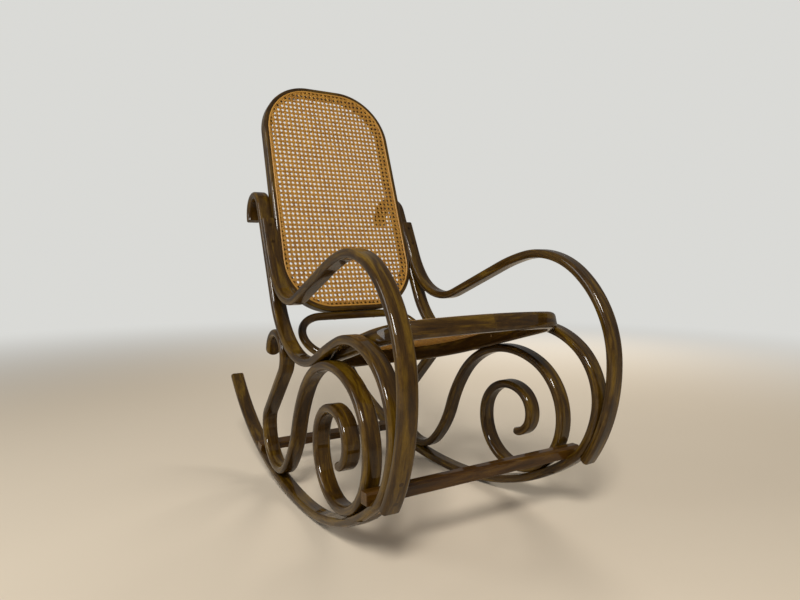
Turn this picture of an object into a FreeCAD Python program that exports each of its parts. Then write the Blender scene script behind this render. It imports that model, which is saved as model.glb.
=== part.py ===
"""Bentwood rocking chair with a caned seat and back.

Each side of the chair lies in one upright plane and is built of four rods, steamed and
bent in that plane: a runner, a side member, an arm and an inner scroll. The right side is
made first and the left side is its mirror image. The two side planes toe in to the rear.
Between them stand the seat ring, the back frame, the loop below the back and two
stretchers. Wood screws hold every joint.

+Z is up, +X is the sitter's left, the chair faces -Y. The origin lies on the floor under
the middle of the chair.
"""
import FreeCAD, Part
import math
import os
import Sketcher
from FreeCAD import Placement, Rotation, Vector

os.makedirs("parts", exist_ok=True)

# Driving sizes, in millimetres and degrees. A bend has a radius and a turn, a straight run
# has a length; a positive turn is to the left as the rod is followed from its start.
SIZES = {
    # the section of the side rods: a flat oval, wide across the chair
    "rod_width": 38,
    "rod_depth": 20,
    "rod_edge_radius": 7.5,
    "rod_end_rounding": 2,
    "arm_end_rounding": 4,
    # the side planes: distance between the rods' centres at the origin, and toe-in
    "side_spacing": 452,
    "side_toe_in": 3.45,
    # the floor contact, where each runner is worn flat
    "contact_y": -51,
    "wear_depth": 1,
    # the runner, from the scarf at its front back to its tail
    "runner_heading": -33,
    "toe_radius": 570,
    "toe_turn": 13,
    "sole_front_radius": 670,
    "sole_front_turn": 20,
    "sole_rear_radius": 1050,
    "sole_rear_turn": 19,
    "tail_radius": 700,
    "tail_turn": 24,
    # the scarf between runner and side member, on the toe bend
    "scarf_turn": 8,
    "scarf_bevel": 11,
    "scarf_cutter": 90,
    # the side member, from the scarf up the front, along the seat and up the back
    "side_toe_radius": 570,
    "side_toe_turn": -19.5,
    "side_knuckle_radius": 70,
    "side_knuckle_turn": -14,
    "side_front_radius": 215,
    "side_front_turn": -28,
    "side_crest_radius": 145,
    "side_crest_turn": -63,
    "side_hump_radius": 185,
    "side_hump_turn": -54,
    "side_seat_radius": 750,
    "side_seat_turn": -9,
    "side_heel_radius": 215,
    "side_heel_turn": 94,
    "side_post_length": 267,
    "side_curl_radius": 50,
    "side_curl_turn": -177,
    # the arm, from its top down in front of the post and forward to the front bend
    "arm_start_y": 200,
    "arm_start_height": 686,
    "arm_heading": 246.5,
    "arm_top_length": 105,
    "arm_drop_radius": 250,
    "arm_drop_turn": -16,
    "arm_elbow_radius": 135,
    "arm_elbow_turn": -73.5,
    "arm_rest_length": 184,
    "arm_wrist_radius": 470,
    "arm_wrist_turn": 10.5,
    "arm_knuckle_radius": 185,
    "arm_knuckle_turn": 51,
    "arm_front_radius": 250,
    "arm_front_turn": 48,
    "arm_foot_radius": 375,
    "arm_foot_turn": 37.5,
    # the scroll, from the curl under the seat down, over and round to its inner end
    "scroll_start_y": 172,
    "scroll_start_height": 330,
    "scroll_heading": 81,
    "scroll_curl_radius": 55,
    "scroll_curl_turn": 233.5,
    "scroll_leg_length": 169,
    "scroll_ankle_radius": 50,
    "scroll_ankle_turn": -38,
    "scroll_foot_radius": 95,
    "scroll_foot_turn": -141,
    "scroll_rise_radius": 280,
    "scroll_rise_turn": -26.5,
    "scroll_sway_radius": 360,
    "scroll_sway_turn": 18.5,
    "scroll_arch_radius": 205,
    "scroll_arch_turn": 78.5,
    "scroll_fall_radius": 140,
    "scroll_fall_turn": 151.5,
    "scroll_return_radius": 110,
    "scroll_return_turn": 101,
    "scroll_inner_radius": 85,
    "scroll_inner_turn": 106.5,
    "scroll_eye_radius": 60,
    "scroll_eye_turn": 79,
    "scroll_tip_radius": 45,
    "scroll_tip_turn": 78.5,
    # the seat ring, in its own plane, which slopes down to the rear
    "seat_front_y": -454,
    "seat_front_height": 478,
    "seat_slope": 16.3,
    "seat_crown_radius": 820,
    "seat_crown_turn": 11.2,
    "seat_knee_radius": 90,
    "seat_knee_turn": 82.25,
    "seat_side_length": 242,
    "seat_rear_radius": 131,
    "seat_rail_height": 36,
    "seat_edge_radius": 7,
    # the back frame, in its own plane, which leans back
    "back_foot_y": 112,
    "back_foot_height": 444,
    "back_lean": 17.8,
    "back_foot_length": 62,
    "back_hip_radius": 140,
    "back_hip_turn": 91.3,
    "back_side_length": 370,
    "back_shoulder_radius": 147,
    "back_rail_depth": 32,
    "back_edge_radius": 6,
    # both rails: their width, the rebate for the cane and the groove for the spline
    "rail_width": 22,
    "rail_inner_edge_radius": 4,
    "groove_start": 11,
    "groove_end": 16,
    "groove_depth": 4.5,
    "spline_crown": 1,
    "spline_edge_radius": 2,
    "cane_thickness": 1.8,
    # the cane nets: eight-sided gaps between strips that cross at right angles
    "cane_pitch": 28,
    "cane_gap": 17,
    "cane_margin": 3,
    # the loop between the back frame and the rear of the seat
    "loop_rod_diameter": 21,
    "loop_top_y": 124,
    "loop_top_height": 428.8,
    "loop_foot_y": 9.8,
    "loop_foot_height": 336.4,
    "loop_half_length": 102,
    # the front stretcher, between the front of the scrolls and the side members
    "front_stretcher_y": -419,
    "front_stretcher_height": 150,
    "front_stretcher_depth": 22,
    "front_stretcher_thickness": 25,
    "front_stretcher_length": 554,
    "front_stretcher_chamfer": 5,
    # the rear stretcher, let down over the two runners
    "rear_stretcher_y": 247.4,
    "rear_stretcher_height": 69,
    "rear_stretcher_tilt": 16.8,
    "rear_stretcher_depth": 26,
    "rear_stretcher_thickness": 20,
    "rear_stretcher_length": 460,
    "rear_stretcher_chamfer": 2,
    # wood screws
    "screw_head_radius": 4.5,
    "screw_head_height": 3,
    "screw_shank_radius": 2.25,
    "long_screw": 35,
    "rail_screw": 37,
    "seat_foot_screw": 30,
    "scarf_screw": 18,
    # how far the screws of the seat and the back start from the side plane
    "seat_screw_reach": 37.5,
    "back_screw_reach": 35.4,
    # loop screws, from the middle of the chair
    "loop_screw_from_middle": 60,
    # where each joint's first screw stands along its rod, and the spacing of the next ones
    "arm_top_screw_at": 22,
    "arm_top_screw_spacing": 48,
    "arm_foot_screw_at": 1165,
    "arm_foot_screw_spacing": 45,
    "scroll_curl_screw_at": 133,
    "scroll_foot_screw_at": 562,
    "scroll_arch_screw_at": 1014,
    "scroll_toe_screw_at": 1500,
    "scarf_joint_screw_at": 24,
    "scarf_joint_screw_spacing": 36,
    "front_bar_screw_at": 174,
    "rear_bar_screw_at": 671,
    "seat_side_screw_at": 640,
    "seat_side_screw_spacing": 81.5,
    "back_side_screw_at": 1226,
    "back_side_screw_spacing": 70,
}

RUNNER = ["toe", "sole_front", "sole_rear", "tail"]
SIDE = ["side_" + bend for bend in
        ("toe", "knuckle", "front", "crest", "hump", "seat", "heel", "post", "curl")]
ARM = ["arm_" + bend for bend in
       ("top", "drop", "elbow", "rest", "wrist", "knuckle", "front", "foot")]
SCROLL = ["scroll_" + bend for bend in
          ("curl", "leg", "ankle", "foot", "rise", "sway", "arch", "fall", "return", "inner",
           "eye", "tip")]
SEAT = ["seat_" + bend for bend in ("crown", "knee", "side", "rear", "back")]
BACK = ["back_" + bend for bend in ("foot", "hip", "side", "shoulder", "head")]

UP = Vector(0, 0, 1)
ACROSS = Vector(1, 0, 0)
ORIGIN = -1
ORIGIN_POINT = 1
FLOOR_CUT = 20
CUTTER_WIDTH = 60
# how near a gap's corner may lie to the edge of the opening
HAIR = 0.01

doc = FreeCAD.newDocument("rocking_chair")
sheet = doc.addObject("Spreadsheet::Sheet", "sizes")
for row, (name, value) in enumerate(SIZES.items(), start=1):
    sheet.set(f"A{row}", name)
    sheet.set(f"B{row}", str(value))
    sheet.setAlias(f"B{row}", name)
doc.recompute()


def heading_vector(heading):
    """Unit vector in a sketch plane along a heading in degrees."""
    return Vector(math.cos(math.radians(heading)), math.sin(math.radians(heading)), 0)


def walk(bends, start, heading, offset=0):
    """Geometry of a path along named bends, each as (curve, entry end, exit end).

    A path of a half ring closes itself: its last bend has no turn of its own and goes on
    until the path heads back across the axis, and its last straight runs up to the axis.
    The offset moves the path to its left.
    """
    point = start + heading_vector(heading + 90) * offset
    parts = []
    for bend in bends:
        if bend + "_radius" in SIZES:
            turn = SIZES.get(bend + "_turn", 180 - heading)
            side = math.copysign(1, turn)
            radius = SIZES[bend + "_radius"] - side * offset
            centre = point + heading_vector(heading + 90) * side * radius
            entry = math.radians(heading - side * 90)
            leave = entry + math.radians(turn)
            circle = Part.Circle(centre, UP, radius)
            if turn > 0:
                parts.append((Part.ArcOfCircle(circle, entry, leave), 1, 2))
            else:
                parts.append((Part.ArcOfCircle(circle, leave, entry), 2, 1))
            heading += turn
            point = centre + heading_vector(heading - side * 90) * radius
        else:
            length = SIZES.get(bend + "_length", point.x)
            ahead = point + heading_vector(heading) * length
            parts.append((Part.LineSegment(point, ahead), 1, 2))
            point = ahead
    return parts, point, heading


def station(rod, distance):
    """Point and heading at a distance along a rod's centre line."""
    bends, start, heading = rod
    for index, bend in enumerate(bends):
        if bend + "_length" in SIZES:
            length = SIZES[bend + "_length"]
        else:
            length = SIZES[bend + "_radius"] * abs(math.radians(SIZES[bend + "_turn"]))
        if distance <= length:
            break
        distance -= length
    before, point, heading = walk(bends[:index], start, heading)
    if bend + "_length" in SIZES:
        return point + heading_vector(heading) * distance, heading
    side = math.copysign(1, SIZES[bend + "_turn"])
    radius = SIZES[bend + "_radius"]
    centre = point + heading_vector(heading + 90) * side * radius
    heading += side * math.degrees(distance / radius)
    return centre + heading_vector(heading - side * 90) * radius, heading


def plane(body, role):
    """One of the body's own origin planes."""
    return [feature for feature in body.Origin.OriginFeatures if feature.Role == role][0]


def new_sketch(body, role, name):
    """An empty sketch on one of the body's origin planes."""
    sketch = body.newObject("Sketcher::SketchObject", name)
    sketch.AttachmentSupport = [(plane(body, role), "")]
    sketch.MapMode = "FlatFace"
    return sketch


def bind(sketch, kind, items, name, expression):
    """Add a named measure to a sketch and bind it to the sheet."""
    value = items[-1]
    constraint = Sketcher.Constraint(kind, *items[:-1], value)
    constraint.Name = name
    sketch.addConstraint(constraint)
    sketch.setExpression("Constraints." + name, expression)


def path_sketch(body, role, bends, start, heading, start_names=None, heading_name=None):
    """A row of tangent arcs and straights that the section is swept along.

    With names for the start and the heading the path stands free; without them it is half
    of a ring that starts on the axis at the origin and ends on the axis.
    """
    sketch = new_sketch(body, role, body.Name + "_path")
    parts = walk(bends, start, heading)[0]
    sketch.addGeometry([part[0] for part in parts], False)
    for index, bend in enumerate(bends):
        entry = parts[index][1]
        if index:
            sketch.addConstraint(Sketcher.Constraint("Tangent", index - 1, parts[index - 1][2],
                                                     index, entry))
        if bend + "_radius" in SIZES:
            bind(sketch, "Radius", (index, SIZES[bend + "_radius"]), bend + "_radius",
                 f"sizes.{bend}_radius")
        if bend + "_turn" in SIZES:
            bind(sketch, "Angle", (index, math.radians(abs(SIZES[bend + "_turn"]))),
                 bend + "_turn", f"abs(sizes.{bend}_turn)")
        if bend + "_length" in SIZES:
            bind(sketch, "Distance", (index, SIZES[bend + "_length"]), bend + "_length",
                 f"sizes.{bend}_length")
    entry = parts[0][1]
    if start_names is None:
        sketch.addConstraint(Sketcher.Constraint("Coincident", ORIGIN, ORIGIN_POINT, 0, entry))
        last = len(bends) - 1
        sketch.addConstraint(Sketcher.Constraint("Horizontal", last))
        sketch.addConstraint(Sketcher.Constraint("PointOnObject", last, 2, -2))
        if bends[0] + "_radius" in SIZES:
            sketch.addConstraint(Sketcher.Constraint("PointOnObject", 0, 3, -2))
        else:
            sketch.addConstraint(Sketcher.Constraint("Horizontal", 0))
        return sketch
    along = start - heading_vector(heading) * SIZES["rod_width"]
    lead = sketch.addGeometry(Part.LineSegment(along, start), True)
    sketch.addConstraint(Sketcher.Constraint("Tangent", lead, 2, 0, entry))
    bind(sketch, "Distance", (lead, SIZES["rod_width"]), "lead_length", "sizes.rod_width")
    bind(sketch, "DistanceX", (ORIGIN, ORIGIN_POINT, 0, entry, start.x), "start_y",
         start_names[0])
    bind(sketch, "DistanceY", (ORIGIN, ORIGIN_POINT, 0, entry, start.y), "start_height",
         start_names[1])
    bind(sketch, "Angle", (lead, math.radians(heading)), "heading", heading_name)
    return sketch


def total(terms):
    """Value of a sum of (factor, size name) terms."""
    return sum(factor * SIZES[name] for factor, name in terms)


def formula(terms):
    """The same sum as an expression that reads the sheet."""
    return " + ".join(f"{factor} * sizes.{name}" for factor, name in terms)


def square_section(sketch, edges, roundings):
    """A closed outline of upright and level edges, with some corners rounded.

    Each edge is ("x" or "y", terms): the line on which that coordinate is the sum of the
    terms. A rounding names the radius at the corner where its edge ends, or is None.
    """
    count = len(edges)
    corners = []
    for index in range(count):
        pair = {edges[index][0]: total(edges[index][1]),
                edges[(index + 1) % count][0]: total(edges[(index + 1) % count][1])}
        corners.append(Vector(pair["x"], pair["y"], 0))
    directions = [(corners[index] - corners[index - 1]).normalize() for index in range(count)]
    lines = []
    for index in range(count):
        trim_start = SIZES[roundings[index - 1]] if roundings[index - 1] else 0
        trim_end = SIZES[roundings[index]] if roundings[index] else 0
        first = corners[index - 1] + directions[index] * trim_start
        second = corners[index] - directions[index] * trim_end
        lines.append(sketch.addGeometry(Part.LineSegment(first, second), False))
    for index, (axis, terms) in enumerate(edges):
        line = lines[index]
        sketch.addConstraint(Sketcher.Constraint("Vertical" if axis == "x" else "Horizontal",
                                                 line))
        if terms:
            bind(sketch, "DistanceX" if axis == "x" else "DistanceY",
                 (ORIGIN, ORIGIN_POINT, line, 1, total(terms)), f"edge_{index}", formula(terms))
        else:
            sketch.addConstraint(Sketcher.Constraint("PointOnObject", line, 1,
                                                     -2 if axis == "x" else -1))
        follower = lines[(index + 1) % count]
        rounding = roundings[index]
        if rounding is None:
            sketch.addConstraint(Sketcher.Constraint("Coincident", line, 2, follower, 1))
            continue
        radius = SIZES[rounding]
        incoming = directions[index]
        outgoing = directions[(index + 1) % count]
        side = math.copysign(1, incoming.x * outgoing.y - incoming.y * outgoing.x)
        centre = corners[index] - incoming * radius + outgoing * radius
        entry = math.atan2(-outgoing.y, -outgoing.x)
        leave = entry + side * math.pi / 2
        circle = Part.Circle(centre, UP, radius)
        if side > 0:
            arc = sketch.addGeometry(Part.ArcOfCircle(circle, entry, leave), False)
            ends = (1, 2)
        else:
            arc = sketch.addGeometry(Part.ArcOfCircle(circle, leave, entry), False)
            ends = (2, 1)
        sketch.addConstraint(Sketcher.Constraint("Tangent", line, 2, arc, ends[0]))
        sketch.addConstraint(Sketcher.Constraint("Tangent", arc, ends[1], follower, 1))
        bind(sketch, "Radius", (arc, radius), f"rounding_{index}", f"sizes.{rounding}")


def sweep(body, profile, path, binormal=None):
    """Sweep a section along a path; a binormal keeps it upright where a path turns back."""
    pipe = body.newObject("PartDesign::AdditivePipe", body.Name + "_sweep")
    pipe.Profile = profile
    pipe.Spine = (path, [])
    pipe.Mode = "Standard" if binormal is None else "Binormal"
    if binormal is not None:
        pipe.Binormal = binormal
    pipe.Transition = "Transformed"
    doc.recompute()
    return pipe


def end_face(shape, point):
    """Name of the flat face whose middle lies at a point of the body."""
    for index, face in enumerate(shape.Faces, start=1):
        flat = isinstance(face.Surface, Part.Plane)
        if flat and (face.CenterOfMass - point).Length < SIZES["rod_end_rounding"]:
            return f"Face{index}"
    raise ValueError("no end face there")


def place_in_side_plane(item):
    """Stand an object in the right side plane and bind its place to the sheet."""
    item.Placement = side_plane
    item.setExpression("Placement.Base.x", "-sizes.side_spacing / 2")


def rod(name, bends, start, heading, start_names, heading_name, rounded_ends):
    """One bent rod of the right side: flat oval section, swept along its bends."""
    body = doc.addObject("PartDesign::Body", name)
    path = path_sketch(body, "YZ_Plane", bends, start, heading, start_names, heading_name)
    profile = new_sketch(body, "XZ_Plane", name + "_section")
    profile.AttachmentOffset = Placement(Vector(0, start.y, -start.x),
                                         Rotation(ACROSS, heading))
    half_width = [(0.5, "rod_width")]
    half_depth = [(0.5, "rod_depth")]
    edges = [("y", [(-0.5, "rod_depth")]), ("x", half_width),
             ("y", half_depth), ("x", [(-0.5, "rod_width")])]
    square_section(profile, edges, ["rod_edge_radius"] * 4)
    doc.recompute()
    tip = sweep(body, profile, path, ACROSS)
    finish = walk(bends, start, heading)[1]
    for at_end, rounding in rounded_ends:
        point = finish if at_end else start
        face = end_face(tip.Shape, Vector(0, point.x, point.y))
        smooth = body.newObject("PartDesign::Fillet", f"{name}_{rounding}_{at_end}")
        smooth.Base = (tip, [face])
        smooth.Radius = SIZES[rounding]
        smooth.setExpression("Radius", "sizes." + rounding)
        doc.recompute()
        tip = smooth
    body.Tip = tip
    place_in_side_plane(body)
    doc.recompute()
    return body


def box(name, length, width, height, placement):
    """A box with its lower corner at the placement."""
    item = doc.addObject("Part::Box", name)
    item.Length = length
    item.Width = width
    item.Height = height
    item.Placement = placement
    return item


def cut(name, base, tool):
    """The base less the tool."""
    item = doc.addObject("Part::Cut", name)
    item.Base = base
    item.Tool = tool
    return item


def group(name, items):
    """Several solids kept apart in one object."""
    item = doc.addObject("Part::Compound", name)
    item.Links = items
    return item


def mirror(name, source):
    """The same object on the left side of the chair."""
    item = doc.addObject("Part::Mirroring", name)
    item.Source = source
    item.Base = Vector(0, 0, 0)
    item.Normal = ACROSS
    return item


# The four rods of the right side.
side_plane = Placement(Vector(-SIZES["side_spacing"] / 2, 0, 0),
                       Rotation(UP, -SIZES["side_toe_in"]))
contact = Vector(SIZES["contact_y"], SIZES["rod_depth"] / 2 - SIZES["wear_depth"], 0)
toe_point = Vector(contact.x - SIZES["sole_front_radius"]
                   * math.sin(math.radians(SIZES["sole_front_turn"])),
                   contact.y + SIZES["sole_front_radius"]
                   * (1 - math.cos(math.radians(SIZES["sole_front_turn"]))), 0)
toe_heading = SIZES["runner_heading"] + SIZES["toe_turn"]
toe_centre = toe_point + heading_vector(toe_heading + 90) * SIZES["toe_radius"]
runner_start = toe_centre + heading_vector(SIZES["runner_heading"] - 90) * SIZES["toe_radius"]
toe_y = "(sizes.contact_y - sizes.sole_front_radius * sin(sizes.sole_front_turn))"
toe_height = ("(sizes.rod_depth / 2 - sizes.wear_depth"
              " + sizes.sole_front_radius * (1 - cos(sizes.sole_front_turn)))")
runner_y = (toe_y + " - sizes.toe_radius * sin(sizes.runner_heading + sizes.toe_turn)"
            " + sizes.toe_radius * sin(sizes.runner_heading)")
runner_height = (toe_height + " + sizes.toe_radius * cos(sizes.runner_heading"
                 " + sizes.toe_turn) - sizes.toe_radius * cos(sizes.runner_heading)")
RUNNER_ROD = (RUNNER, runner_start, SIZES["runner_heading"])
SIDE_ROD = (SIDE, toe_point, toe_heading + 180)
ARM_ROD = (ARM, Vector(SIZES["arm_start_y"], SIZES["arm_start_height"], 0),
           SIZES["arm_heading"])
SCROLL_ROD = (SCROLL, Vector(SIZES["scroll_start_y"], SIZES["scroll_start_height"], 0),
              SIZES["scroll_heading"])
runner_body = rod("runner_body", *RUNNER_ROD, (runner_y, runner_height),
                  "sizes.runner_heading", [(True, "rod_end_rounding")])
side_body = rod("side_body", *SIDE_ROD, (toe_y, toe_height),
                "sizes.runner_heading + sizes.toe_turn + 180", [(True, "rod_end_rounding")])
arm_body = rod("arm_body", *ARM_ROD, ("sizes.arm_start_y", "sizes.arm_start_height"),
               "sizes.arm_heading", [(False, "arm_end_rounding"), (True, "rod_end_rounding")])
scroll_body = rod("scroll_body", *SCROLL_ROD,
                  ("sizes.scroll_start_y", "sizes.scroll_start_height"),
                  "sizes.scroll_heading",
                  [(False, "rod_end_rounding"), (True, "rod_end_rounding")])

# The scarf is a slanting cut: the runner lies below it and the side member above it.
scarf_run = SIZES["toe_radius"] * math.radians(SIZES["scarf_turn"])
scarf_point, scarf_heading = station(SIDE_ROD, scarf_run)
scarf_tilt = scarf_heading + SIZES["scarf_bevel"] - 180
scarf = side_plane.multiply(Placement(Vector(0, scarf_point.x, scarf_point.y),
                                      Rotation(ACROSS, scarf_tilt)))
cutter_size = (CUTTER_WIDTH, 2 * SIZES["scarf_cutter"], SIZES["scarf_cutter"])
above = Vector(-CUTTER_WIDTH / 2, -SIZES["scarf_cutter"], 0)
below = Vector(-CUTTER_WIDTH / 2, -SIZES["scarf_cutter"], -SIZES["scarf_cutter"])
scarf_above = box("scarf_above", *cutter_size, scarf.multiply(Placement(above, Rotation())))
scarf_below = box("scarf_below", *cutter_size, scarf.multiply(Placement(below, Rotation())))
floor_cut = box("floor_cut", CUTTER_WIDTH, 2 * SIZES["scarf_cutter"], FLOOR_CUT,
                side_plane.multiply(Placement(
                    Vector(-CUTTER_WIDTH / 2, SIZES["contact_y"] - SIZES["scarf_cutter"],
                           -FLOOR_CUT), Rotation())))
runner_scarfed = cut("runner_scarfed", runner_body, scarf_above)
runner_worn = cut("runner_worn", runner_scarfed, floor_cut)
side_scarfed = cut("side_scarfed", side_body, scarf_below)
doc.recompute()


def hoop(name, bends, edges, roundings, placement):
    """A closed ring with equal halves: half its rail is swept, then mirrored."""
    body = doc.addObject("PartDesign::Body", name)
    path = path_sketch(body, "XY_Plane", bends, Vector(0, 0, 0), 0)
    profile = new_sketch(body, "YZ_Plane", name + "_section")
    square_section(profile, edges, roundings)
    doc.recompute()
    half = sweep(body, profile, path)
    whole = body.newObject("PartDesign::Mirrored", name + "_mirrored")
    whole.Originals = [half]
    whole.MirrorPlane = (plane(body, "YZ_Plane"), [""])
    body.Tip = whole
    body.Placement = placement
    doc.recompute()
    return body


def rail_edges(depth_name):
    """Edges of a rail: the path runs along its outer upper edge, the rail lies inward."""
    return [("y", [(-1, depth_name)]), ("x", [(1, "rail_width")]),
            ("y", [(-1, "cane_thickness")]), ("x", [(1, "groove_end")]),
            ("y", [(-1, "groove_depth")]), ("x", [(1, "groove_start")]),
            ("y", []), ("x", [])]


def rail_roundings(edge_radius):
    """Roundings of the rail's outer edges and of its inner far edge."""
    return ["rail_inner_edge_radius", None, None, None, None, None, edge_radius, edge_radius]


SPLINE_EDGES = [("y", [(-1, "groove_depth")]), ("x", [(1, "groove_end")]),
                ("y", [(1, "spline_crown")]), ("x", [(1, "groove_start")])]
SPLINE_ROUNDINGS = [None, "spline_edge_radius", "spline_edge_radius", None]

seat_place = Placement(Vector(0, SIZES["seat_front_y"], SIZES["seat_front_height"]),
                       Rotation(ACROSS, -SIZES["seat_slope"]))
back_place = Placement(Vector(0, SIZES["back_foot_y"], SIZES["back_foot_height"]),
                       Rotation(ACROSS, 90 - SIZES["back_lean"]))
seat_rail = hoop("seat_rail", SEAT, rail_edges("seat_rail_height"),
                 rail_roundings("seat_edge_radius"), seat_place)
back_rail = hoop("back_rail", BACK, rail_edges("back_rail_depth"),
                 rail_roundings("back_edge_radius"), back_place)
seat_spline = hoop("seat_spline", SEAT, SPLINE_EDGES, SPLINE_ROUNDINGS, seat_place)
back_spline = hoop("back_spline", BACK, SPLINE_EDGES, SPLINE_ROUNDINGS, back_place)


def inner_outline(bends, offset):
    """Closed outline inside a ring's outer edge, at a distance from it."""
    half = [part[0].toShape() for part in walk(bends, Vector(0, 0, 0), 0, offset)[0]]
    other = [edge.mirror(Vector(0, 0, 0), ACROSS) for edge in half]
    return Part.Wire(Part.__sortEdges__(half + other))


def cane_net(name, bends, placement):
    """One sheet of cane in the rebate: a net of eight-sided gaps between crossing strips."""
    sheet_outline = inner_outline(bends, SIZES["groove_end"])
    opening = Part.Face(inner_outline(bends, SIZES["rail_width"] + SIZES["cane_margin"]))
    bounds = opening.BoundBox
    pitch = SIZES["cane_pitch"]
    reach = SIZES["cane_gap"] / 2
    slant = reach * math.tan(math.pi / 8)
    octagon = [(reach, -slant), (reach, slant), (slant, reach), (-slant, reach),
               (-reach, slant), (-reach, -slant), (-slant, -reach), (slant, -reach)]
    columns = int(bounds.XMax / pitch)
    rows = int(bounds.YLength / pitch) + 1
    lowest = bounds.Center.y - (rows - 1) / 2 * pitch
    gaps = []
    for row in range(rows):
        for column in range(-columns, columns + 1):
            middle = Vector(column * pitch, lowest + row * pitch, 0)
            points = [middle + Vector(x, y, 0) for x, y in octagon]
            if all(opening.isInside(point, HAIR, True) for point in points):
                gaps.append(Part.makePolygon(points + points[:1]))
    net = Part.makeFace([sheet_outline] + gaps, "Part::FaceMakerBullseye")
    feature = doc.addObject("Part::Feature", name)
    feature.Shape = net.extrude(Vector(0, 0, -SIZES["cane_thickness"]))
    feature.Placement = placement
    return feature


seat_cane = cane_net("seat_cane", SEAT, seat_place)
back_cane = cane_net("back_cane", BACK, back_place)

# The loop is a round rod; its upper run lies under the back frame and its lower run lies
# behind the rear of the seat ring.
loop_foot = Vector(0, SIZES["loop_foot_y"], SIZES["loop_foot_height"])
loop_rise = Vector(0, SIZES["loop_top_y"], SIZES["loop_top_height"]) - loop_foot
loop_body = doc.addObject("PartDesign::Body", "loop_body")
loop_path = new_sketch(loop_body, "XY_Plane", "loop_path")
half_length = SIZES["loop_half_length"]
end_radius = loop_rise.Length / 2
quarter = math.pi / 2
loop_path.addGeometry([
    Part.LineSegment(Vector(0, 0, 0), Vector(half_length, 0, 0)),
    Part.ArcOfCircle(Part.Circle(Vector(half_length, end_radius, 0), UP, end_radius),
                     -quarter, quarter),
    Part.LineSegment(Vector(half_length, 2 * end_radius, 0), Vector(0, 2 * end_radius, 0)),
], False)
loop_path.addConstraint([
    Sketcher.Constraint("Coincident", ORIGIN, ORIGIN_POINT, 0, 1),
    Sketcher.Constraint("Horizontal", 0),
    Sketcher.Constraint("Tangent", 0, 2, 1, 1),
    Sketcher.Constraint("Tangent", 1, 2, 2, 1),
    Sketcher.Constraint("Horizontal", 2),
    Sketcher.Constraint("PointOnObject", 2, 2, -2),
])
bind(loop_path, "DistanceX", (0, 1, 0, 2, half_length), "half_length",
     "sizes.loop_half_length")
bind(loop_path, "Radius", (1, end_radius), "end_radius",
     "sqrt((sizes.loop_top_y - sizes.loop_foot_y) ^ 2"
     " + (sizes.loop_top_height - sizes.loop_foot_height) ^ 2) / 2")
loop_section = new_sketch(loop_body, "YZ_Plane", "loop_section")
loop_section.addGeometry(Part.Circle(Vector(0, 0, 0), UP, SIZES["loop_rod_diameter"] / 2),
                         False)
loop_section.addConstraint(Sketcher.Constraint("Coincident", ORIGIN, ORIGIN_POINT, 0, 3))
bind(loop_section, "Diameter", (0, SIZES["loop_rod_diameter"]), "diameter",
     "sizes.loop_rod_diameter")
doc.recompute()
loop_half = sweep(loop_body, loop_section, loop_path)
loop_whole = loop_body.newObject("PartDesign::Mirrored", "loop_mirrored")
loop_whole.Originals = [loop_half]
loop_whole.MirrorPlane = (plane(loop_body, "YZ_Plane"), [""])
loop_body.Tip = loop_whole
loop_incline = math.degrees(math.atan2(loop_rise.z, loop_rise.y))
loop_body.Placement = Placement(loop_foot, Rotation(ACROSS, loop_incline))
doc.recompute()


def stretcher(name, tilt):
    """A straight bar across the chair with chamfered long edges."""
    body = doc.addObject("PartDesign::Body", name + "_body")
    profile = new_sketch(body, "YZ_Plane", name + "_section")
    edges = [("y", [(-0.5, name + "_thickness")]), ("x", [(0.5, name + "_depth")]),
             ("y", [(0.5, name + "_thickness")]), ("x", [(-0.5, name + "_depth")])]
    square_section(profile, edges, [None] * 4)
    doc.recompute()
    pad = body.newObject("PartDesign::Pad", name + "_pad")
    pad.Profile = profile
    pad.Midplane = True
    pad.Length = SIZES[name + "_length"]
    pad.setExpression("Length", f"sizes.{name}_length")
    doc.recompute()
    upper_front = []
    for index, edge in enumerate(pad.Shape.Edges, start=1):
        middle = edge.CenterOfMass
        if abs(middle.x) < 1 and middle.y < 0 < middle.z:
            upper_front.append(f"Edge{index}")
    chamfer = body.newObject("PartDesign::Chamfer", name + "_chamfer")
    chamfer.Base = (pad, upper_front)
    chamfer.Size = SIZES[name + "_chamfer"]
    chamfer.setExpression("Size", f"sizes.{name}_chamfer")
    body.Tip = chamfer
    body.Placement = Placement(Vector(0, SIZES[name + "_y"], SIZES[name + "_height"]),
                               Rotation(ACROSS, tilt))
    body.setExpression("Placement.Base.y", f"sizes.{name}_y")
    body.setExpression("Placement.Base.z", f"sizes.{name}_height")
    doc.recompute()
    return body


front_bar = stretcher("front_stretcher", 0)
rear_bar = stretcher("rear_stretcher", SIZES["rear_stretcher_tilt"])


def screw(name, length_name, placement):
    """A countersunk wood screw that is driven along its placement's Z axis."""
    head = doc.addObject("Part::Cone", name + "_head")
    head.Radius1 = SIZES["screw_head_radius"]
    head.Radius2 = SIZES["screw_shank_radius"]
    head.Height = SIZES["screw_head_height"]
    shank = doc.addObject("Part::Cylinder", name + "_shank")
    shank.Radius = SIZES["screw_shank_radius"]
    shank.Height = SIZES[length_name]
    head.setExpression("Radius1", "sizes.screw_head_radius")
    head.setExpression("Radius2", "sizes.screw_shank_radius")
    head.setExpression("Height", "sizes.screw_head_height")
    shank.setExpression("Radius", "sizes.screw_shank_radius")
    shank.setExpression("Height", "sizes." + length_name)
    item = doc.addObject("Part::Fuse", name)
    item.Base = head
    item.Tool = shank
    item.Placement = placement
    return item


def distances(name, count):
    """Distances of a joint's screws along the rod that it is measured on."""
    spacing = SIZES.get(name + "_screw_spacing", 0)
    return [SIZES[name + "_screw_at"] + index * spacing for index in range(count)]


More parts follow.
